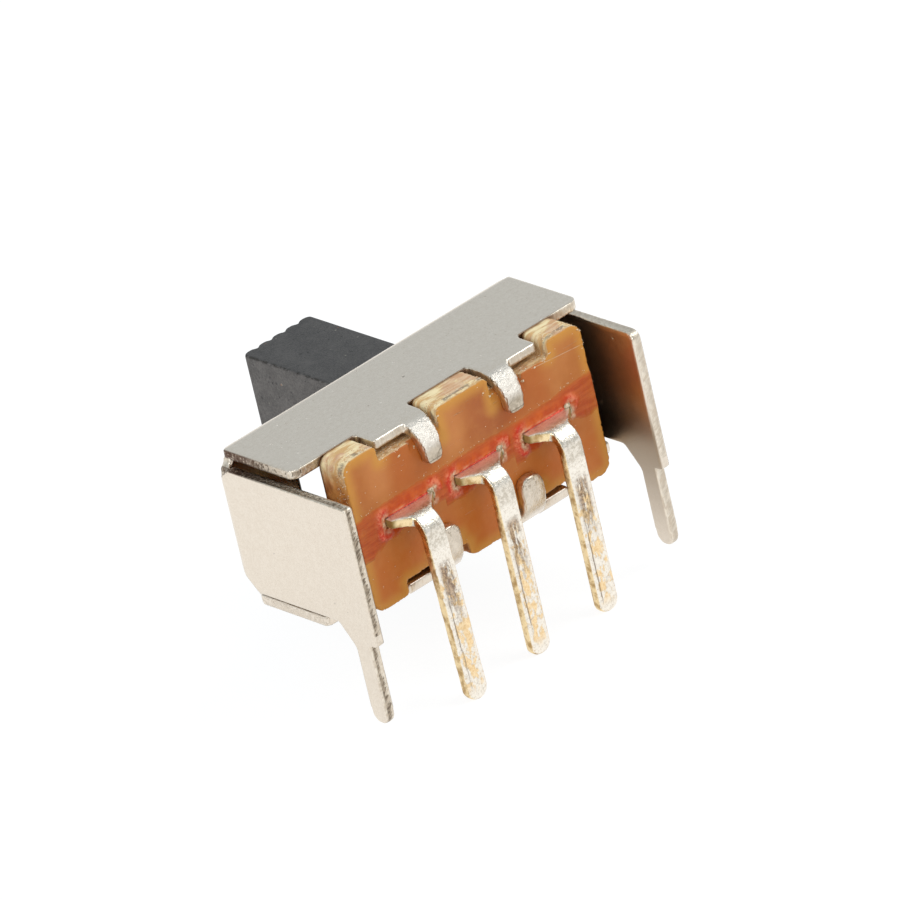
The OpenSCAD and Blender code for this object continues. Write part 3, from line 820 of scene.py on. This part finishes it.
smooth(board, 180)
print("board mesh:", len(mesh.vertices), "vertices")


# %% Laminate face
LAMINATE, given = new_group("laminate face", {"Place": None, "Inset": 1.0, "Slot": 1.0},
                            ["Color", "Scratch"])
place = given["Place"]
x, y, z = parts(place)
cloud = fractal(place, 0.9, 3.0)
mottle = fractal(place, 5.0, 4.0)
face = mix_color(ramp(cloud, 0.35, 0.65), color(0.475, 0.145, 0.026), color(0.54, 0.185, 0.042))
# Darker and lighter fields between the tabs
shade = (1.0 - ramp(abs(x + 0.7), 0.35, 1.1)) * ramp(z, 2.3, 2.6)
face = mix_color(shade * 0.6, face, color(0.36, 0.078, 0.018))
light = lower(abs(x - 2.6), abs(x - 0.5))
light = (1.0 - ramp(light, 0.1, 0.5)) * ramp(z, 2.4, 2.8)
face = mix_color(light * 0.5, face, color(0.66, 0.25, 0.075))
low = 1.0 - ramp(z, 0.9, 2.0)
face = mix_color(low * 0.75, face, color(0.6, 0.155, 0.018))
face = mix_color(ramp(mottle, 0.4, 0.7) * 0.15, face, color(0.64, 0.27, 0.07))
# Beside each tab the board is painted darker red: a painted shadow of the tab over a redder stain
tab_shadow_and_stain = abs(abs(x) - TAB_X)
tab_shadow_and_stain = (1.0 - ramp(tab_shadow_and_stain, 0.4, 0.95)) * ramp(z, 2.15, 2.6)
face = mix_color(tab_shadow_and_stain * 0.6, face, color(0.47, 0.1, 0.008))
# A golden rim along the outline: painted light glowing through the thin translucent edge
edge_glow = (1.0 - ramp(given["Inset"], 0.03, 0.34)) * (0.8 - tab_shadow_and_stain * 0.8)
face = mix_color(edge_glow, face, color(0.66, 0.3, 0.05))
# Fine scratches along the grain, and pale dust
turned = add(LAMINATE, "Mapping", {"Vector": place, "Rotation": (0.0, math.radians(4), 0.0),
                                   "Scale": (0.35, 1.0, 9.0)})
lines = fractal(Value(turned.outputs[0]), 3.0, 4.0, 0.7)
scratch = ramp(lines, 0.66, 0.7) * ramp(cloud, 0.42, 0.55) * ramp(given["Slot"], 0.3, 0.6)
long_line = abs(z - (3.2 + (x + 3.5) * 0.092))
long_line = (1.0 - ramp(long_line, 0.004, 0.014)) * (x < -1.95)
scratch = higher(scratch, long_line * ramp(mottle, 0.36, 0.5))
specks = use(SPECKS, Place=place, Scale=6.0, Size=0.1, Share=0.3)["Mask"]
pale = clamped(scratch * 0.42 + specks * 0.4)
face = mix_color(pale, face, color(0.82, 0.62, 0.4))
end_group(LAMINATE, Color=face, Scratch=scratch)


def laminate():
    material, tree, place = start_material("paper laminate")
    y, z = parts(place)[1:]
    depth = BOARD_Y - y
    slot = attribute(tree, "slot")
    face = use(LAMINATE, Place=place, Inset=attribute(tree, "inset"), Slot=slot)
    fine = fractal(place, 24.0, 3.0, 0.6)
    mottle = fractal(place, 4.0, 4.0)
    # Torn layers on the cut edges
    layers = fractal(place, 1.0, 5.0, 0.6, (2.2, 9.0, 2.2))
    cream = mix_color(ramp(layers, 0.4, 0.6), color(0.68, 0.42, 0.18), color(0.93, 0.77, 0.46))
    patch = ramp(fractal(place, 2.2, 4.0), 0.5, 0.62)
    cream = mix_color(patch * 0.55, cream, color(0.62, 0.33, 0.22))
    smudge = ramp(mottle, 0.48, 0.6) * (1.0 - ramp(abs(depth - 0.14), 0.03, 0.1))
    cream = mix_color(smudge * 0.75, cream, color(0.24, 0.19, 0.14))
    # Amber resin low on the sides
    sides = 1.0 - ramp(z, 3.0, 3.7)
    amber = mix_color(ramp(mottle, 0.4, 0.6), color(0.42, 0.13, 0.02), color(0.66, 0.29, 0.07))
    cream = mix_color(sides * 0.9, cream, amber)
    # Painted shade: the edges turn dark brown where they meet the top plate
    front = ramp(depth, 0.7, 0.79)
    cream = mix_color(front, cream, color(0.13, 0.05, 0.02))
    # Face, cut edges and slots together
    edge = attribute(tree, "edge")
    base = mix_color(edge, face["Color"], cream)
    inside = 1.0 - ramp(slot, -0.02, 0.015)
    base = mix_color(inside, base, color(0.46, 0.045, 0.01))
    shine = mix_value(edge, 0.3 + mottle * 0.15, 0.65)
    height = edge * layers + fine * 0.15 - face["Scratch"] * 0.25
    finish_material(tree, {"Base Color": base, "Roughness": shine, "Specular IOR Level": 0.3}, height, 0.02)
    return material


board.data.materials.append(laminate())
own(board, "housing", "laminate", "base_board")

# %% [markdown]
# ## The sealing lacquer
#
# A red lacquer is brushed over the slots to seal the terminals. It is thin and clear on the flat, gathers
# in thick crimson beads round the slot ends, and dries with a ragged border. One formula gives its
# thickness and its colour from the distance to the nearest slot, and a grid that leaves the slots open
# carries it.

# %% Sealing lacquer
LACQUER_CELL = 0.022
LACQUER_HALF = 3.45


def grid_lines(stops):
    """Places between the stops, no further apart than a cell."""
    lines = []
    for a, b in zip(stops, stops[1:]):
        lines.append(np.linspace(a, b, int(math.ceil((b - a) / LACQUER_CELL)) + 1)[:-1])
    return np.concatenate(lines + [[stops[-1]]])


def shell(name, places, faces, back_y):
    """A closed mesh from a front sheet in mm; its back lies at y = back_y."""
    count = len(places)
    behind = places.copy()
    behind[:, 1] = back_y
    sides = {}
    for face in faces:
        for edge in zip(face, face[1:] + face[:1]):
            if sides.pop((edge[1], edge[0]), None) is None:
                sides[edge] = True
    walls = [(b, a, a + count, b + count) for a, b in sides]
    rear = [tuple(i + count for i in reversed(face)) for face in faces]
    mesh = bpy.data.meshes.new(name)
    mesh.from_pydata(np.concatenate([places, behind]) * mm, [], list(faces) + rear + walls)
    made = bpy.data.objects.new(name, mesh)
    bpy.context.scene.collection.objects.link(made)
    return made


# %% Lacquer thickness and tints
slot_stops = [PITCH * i + side * SLOT_X for i in (-1, 0, 1) for side in (-1, 1)]
xs = grid_lines([-LACQUER_HALF + 0.012] + slot_stops + [LACQUER_HALF - 0.012])
us = grid_lines([-0.62, -SLOT_Z, SLOT_Z, 0.72])
grid_x, grid_u = [g.ravel() for g in np.meshgrid(xs, us, indexing="ij")]
flat = np.stack([grid_x, np.zeros(len(grid_x)), grid_u + BLADE_Z], axis=1)
big = fractal_at(flat, 1.6, 3, 11.0)
mid = fractal_at(flat, 5.0, 3, 17.0)
small = fractal_at(flat, 12.0, 3, 3.0)
slot, along = slot_distance(grid_x, grid_u + BLADE_Z)
left_end, right_end = step(along, 0.5, 0.72), step(-along, 0.5, 0.7)
top = lacquer_top(grid_x)
low = -0.2 - 0.25 * step(along, -0.4, 0.6) - 0.1 * step(np.abs(grid_x), 2.6, 3.3)
cover = step(top - grid_u + 0.03 * mid, -0.02, 0.09) * step(grid_u - low + 0.1 * big, -0.08, 0.1)
halo = step(-slot - 0.09 * big - 0.03 * mid, -0.34, -0.12) * step(grid_u, 0.0, 0.16)
below = step(-slot, -0.32, -0.06) * step(-grid_u, 0.12, 0.16)
below = below * step(along + 0.25 * mid, -0.3, 0.1) * step(0.97 - along + 0.1 * mid, 0.0, 0.2)
bead = np.exp(-((slot - 0.16 - 0.05 * mid) / (0.085 + 0.02 * big)) ** 2) * left_end * (0.85 + 0.5 * mid)
right_bead = 0.8 * np.exp(-((slot - 0.17 - 0.05 * mid) / 0.085) ** 2) * right_end
bead = bead + right_bead * step(grid_u + 0.25 * mid, -0.06, 0.16)
bead = np.clip(bead * step(slot, 0.0, 0.06), 0, 1)
fringe = np.exp(-((slot - 0.045 - 0.02 * mid) / 0.06) ** 2) * np.clip(left_end + right_end, 0, 1)
fringe = np.clip(fringe * (0.75 + 0.7 * mid + 0.4 * small), 0, 1)
# A lighter line along each slot's upper edge: a painted highlight
rim = np.exp(-((slot - 0.025) / 0.03) ** 2) * step(grid_u, 0.1, 0.14) * np.clip(0.45 + 1.1 * mid, 0, 1)
thickness = -0.004 + 0.016 * cover + 0.008 * halo + 0.05 * bead + 0.02 * fringe + 0.006 * small * cover
shift = 0.016 * np.exp(-np.maximum(slot, 0) / 0.1)
shift_x = grid_x + shift * fractal_at(flat, 7.0, 2, 21.0)
shift_u = grid_u + shift * fractal_at(flat, 7.0, 2, 31.0)
front = np.stack([shift_x, BOARD_Y + thickness, shift_u + BLADE_Z], axis=1)
print("lacquer up to", round(float(thickness.max()), 3), "mm thick")

# %% Lacquer film
rows = len(us)
cells = []
for i in range(len(xs) - 1):
    for j in range(rows - 1):
        quad = [i * rows + j, i * rows + j + 1, (i + 1) * rows + j + 1, (i + 1) * rows + j]
        middle_x, middle_u = (xs[i] + xs[i + 1]) / 2, (us[j] + us[j + 1]) / 2
        along_x = abs(middle_x - PITCH * min(1, max(-1, round(middle_x / PITCH))))
        in_slot = along_x < SLOT_X and abs(middle_u) < SLOT_Z
        if not in_slot and max(thickness[k] for k in quad) > -0.0035:
            cells.append(tuple(quad))
film = shell("lacquer_film", front, cells, BOARD_Y - 0.012)
tints = {"cover": cover, "halo": halo, "below": below, "bead": bead, "fringe": fringe, "rim": rim,
         "slot": slot}
for label, values in tints.items():
    store(film.data, label, np.concatenate([values, values]))
store(film.data, "inset", outline_distance(film.data, "base_board"))
bm = bmesh.new()
bm.from_mesh(film.data)
bmesh.ops.delete(bm, geom=[v for v in bm.verts if not v.link_faces], context="VERTS")
bmesh.ops.recalc_face_normals(bm, faces=bm.faces)
bm.to_mesh(film.data)
bm.free()
smooth(film, 180)


# %% Lacquer colour
def lacquer():
    material, tree, place = start_material("sealing lacquer")
    under = use(LAMINATE, Place=place, Inset=attribute(tree, "inset"), Slot=attribute(tree, "slot"))
    cloud = fractal(place, 4.0, 4.0)
    fine = fractal(place, 18.0, 3.0, 0.6)
    streak = fractal(place, 1.0, 4.0, 0.65, (1.4, 6.0, 15.0))
    wash = mix_color(ramp(streak, 0.38, 0.6), color(0.45, 0.056, 0.007), color(0.54, 0.1, 0.018))
    amount = clamped(attribute(tree, "cover") * (0.62 + cloud * 0.45))
    base = mix_color(amount, under["Color"], wash)
    red = mix_color(ramp(cloud, 0.38, 0.62), color(0.53, 0.055, 0.004), color(0.66, 0.12, 0.014))
    base = mix_color(attribute(tree, "halo") * 0.85, base, red)
    base = mix_color(attribute(tree, "below") * 0.85, base, color(0.44, 0.04, 0.008))
    pink = mix_color(ramp(cloud * 0.6 + fine * 0.4, 0.42, 0.6), color(0.6, 0.035, 0.012),
                     color(0.86, 0.25, 0.13))
    base = mix_color(attribute(tree, "bead"), base, pink)
    cream = mix_color(ramp(fine, 0.4, 0.6), color(0.6, 0.34, 0.2), color(0.84, 0.62, 0.4))
    base = mix_color(attribute(tree, "fringe") * 0.9, base, cream)
    # Painted highlight along the slots' upper edges
    base = mix_color(attribute(tree, "rim") * 0.7, base, color(0.82, 0.36, 0.2))
    height = cloud * 0.7 + fine * 0.3
    finish_material(tree, {"Base Color": base, "Roughness": 0.24, "Specular IOR Level": 0.22}, height, 0.015)
    return material


film.data.materials.append(lacquer())
own(film, "housing", "lacquer", "sealing_lacquer")


# %% [markdown]
# ## Resin clots and crimson beads
#
# Where a brush leaves a slot it drops a little more: pale lumps of old resin cling to one corner of each
# slot, and a bright crimson bead runs along its edge. Both are too small for the film's grid, so they are
# small closed meshes of their own, made irregular by a smooth noise.

# %% Clots
def plain_mesh(name, bm, material):
    """Turns a bmesh in mm into a smooth piece."""
    mesh = bpy.data.meshes.new(name)
    bmesh.ops.recalc_face_normals(bm, faces=bm.faces)
    bm.to_mesh(mesh)
    bm.free()
    mesh.transform(Matrix.Scale(mm, 4))
    mesh.materials.append(material)
    made = bpy.data.objects.new(name, mesh)
    bpy.context.scene.collection.objects.link(made)
    smooth(made, 180)
    return made


def lump(bm, centre, radii, seed):
    """A small irregular ball added to the bmesh."""
    ball = bmesh.ops.create_icosphere(bm, subdivisions=3, radius=1.0)["verts"]
    for vert in ball:
        swell = 1 + 0.35 * noise.fractal(vert.co * 1.4 + Vector((seed, 0, 0)), 0.7, 2.0, 3)
        vert.co = Vector(centre) + Vector(c * r * swell for c, r in zip(vert.co, radii))


def grain_material(name, dark, light, shine=0.6):
    material, tree, place = start_material(name)
    tint = ramp(fractal(place, 14.0, 3.0), 0.4, 0.6)
    finish_material(tree, {"Base Color": mix_color(tint, dark, light), "Roughness": shine}, tint, 0.01)
    return material


bm = bmesh.new()
for i in (-1, 0, 1):
    corner = PITCH * i - SLOT_X + 0.07
    lump(bm, (corner, BOARD_Y + 0.03, BLADE_Z + 0.15), (0.085, 0.05, 0.055), i * 3.1)
    lump(bm, (corner - 0.07, BOARD_Y + 0.02, BLADE_Z + 0.02), (0.03, 0.035, 0.09), i * 5.3 + 1)
look = grain_material("resin clots", color(0.36, 0.27, 0.15), color(0.74, 0.6, 0.42), 0.5)
clots = plain_mesh("resin_clots", bm, look)
own(clots, "housing", "lacquer")

# %% Crimson beads
BEAD_STEPS = 64
BEAD_SIDES = 10
bm = bmesh.new()
for i in (-1, 0, 1):
    rings = []
    for k in range(BEAD_STEPS + 1):
        t = k / BEAD_STEPS
        spot = PITCH * i + 0.62 - 1.24 * t
        swell = noise.noise(Vector((spot * 6.0, 2.0, i * 3.0)))
        full = 0.012 + (0.008 + 0.034 * max(0.0, swell)) * min(1.0, max(0.0, 4 * t - 1.6))
        size = full * math.sqrt(max(0.0, 1 - (2 * t - 1) ** 6)) + 0.001
        rings.append([])
        for n in range(BEAD_SIDES):
            a = 2 * math.pi * n / BEAD_SIDES
            place = (spot, BOARD_Y + 0.012 + 1.3 * size * math.cos(a), BLADE_Z + 0.125 + size * math.sin(a))
            rings[-1].append(bm.verts.new(place))
    for one, two in zip(rings, rings[1:]):
        for n in range(BEAD_SIDES):
            bm.faces.new((one[n], one[n - 1], two[n - 1], two[n]))
    bm.faces.new(rings[0])
    bm.faces.new(rings[-1])
look = grain_material("crimson bead", color(0.56, 0.022, 0.006), color(0.84, 0.11, 0.05), 0.28)
drops = plain_mesh("crimson_beads", bm, look)
own(drops, "housing", "lacquer")

# %% [markdown]
# ## Crumbs and torn fibres
#
# Punching also leaves pale crumbs of paper and resin. One Geometry Nodes tree scatters small bits over a
# surface where a stored weight asks for them. It runs three times: fine crumbs over the face, coarser
# chips in the notch, and long thin grains for the fibres.

# %% Crumbs and fibres
PER_SQUARE_METRE = 1e6


def scatter_tree():
    """Scatters stretched grains; inputs: weight name, density per square mm, size and length in mm, seed."""
    tree = bpy.data.node_groups.new("scattered grains", "GeometryNodeTree")
    for label, kind in (("Geometry", "Geometry"), ("Weight", "String"), ("Density", "Float"),
                        ("Size", "Float"), ("Length", "Float"), ("Seed", "Int"), ("Material", "Material")):
        tree.interface.new_socket(label, in_out="INPUT", socket_type="NodeSocket" + kind)
    tree.interface.new_socket("Geometry", in_out="OUTPUT", socket_type="NodeSocketGeometry")
    given = tree.nodes.new("NodeGroupInput").outputs
    seed = given["Seed"]
    weight = make_node(tree, "GeometryNodeInputNamedAttribute", {"Name": given["Weight"]})
    density = Value(weight.outputs["Attribute"]) * given["Density"] * PER_SQUARE_METRE
    spots = make_node(tree, "GeometryNodeDistributePointsOnFaces",
                      {"Mesh": given["Geometry"], "Density": density, "Seed": seed})
    grain = make_node(tree, "GeometryNodeMeshIcoSphere", {"Radius": 1.0, "Subdivisions": 1})
    size = add(tree, "CombineXYZ", {0: given["Length"], 1: given["Size"], 2: given["Size"]})
    vary = make_node(tree, "FunctionNodeRandomValue",
                     {0: (0.35 * mm, 0.35 * mm, 0.25 * mm), 1: (1.3 * mm, 1.2 * mm, 0.8 * mm),
                      "Seed": seed}, data_type="FLOAT_VECTOR")
    scale = add(tree, "VectorMath", {0: size.outputs[0], 1: vary.outputs[0]}, operation="MULTIPLY")
    turn = make_node(tree, "FunctionNodeRandomValue",
                     {0: (-0.3, -0.3, -0.5), 1: (0.3, 0.3, 0.5), "Seed": seed}, data_type="FLOAT_VECTOR")
    grains = make_node(tree, "GeometryNodeInstanceOnPoints",
                       {"Points": spots.outputs["Points"], "Instance": grain.outputs["Mesh"],
                        "Rotation": turn.outputs[0], "Scale": scale.outputs[0]})
    real = make_node(tree, "GeometryNodeRealizeInstances", {0: grains.outputs[0]})
    dressed = make_node(tree, "GeometryNodeSetMaterial",
                        {"Geometry": real.outputs[0], "Material": given["Material"]})
    make_node(tree, "NodeGroupOutput", {0: dressed.outputs[0]})
    return tree


def scatter(name, tree, support, material, **amounts):
    """Grains over the support's surface, as a plain mesh of their own."""
    made = bpy.data.objects.new(name, support.data.copy())
    bpy.context.scene.collection.objects.link(made)
    grains = made.modifiers.new("grains", "NODES")
    grains.node_group = tree
    amounts["Material"] = material
    for item in tree.interface.items_tree:
        if item.in_out == "INPUT" and item.name in amounts:
            grains[item.identifier] = amounts[item.name]
    made.update_tag()
    plain(made)
    smooth(made, 180)
    return made


grains = scatter_tree()
crumb_look = grain_material("crumbs", color(0.7, 0.45, 0.25), color(0.9, 0.76, 0.52))
crumbs = scatter("laminate_crumbs", grains, board, crumb_look,
                 Weight="crumbs", Density=620.0, Size=0.012, Length=0.018, Seed=7)
own(crumbs, "housing", "laminate")
chips = scatter("notch_chips", grains, board, crumb_look,
                Weight="chips", Density=260.0, Size=0.03, Length=0.045, Seed=3)
own(chips, "housing", "laminate")
fibre_look = grain_material("fibres", color(0.62, 0.34, 0.16), color(0.92, 0.8, 0.58))
fibres = scatter("torn_fibres", grains, board, fibre_look,
                 Weight="fibres", Density=420.0, Size=0.01, Length=0.045, Seed=11)
own(fibres, "housing", "laminate")
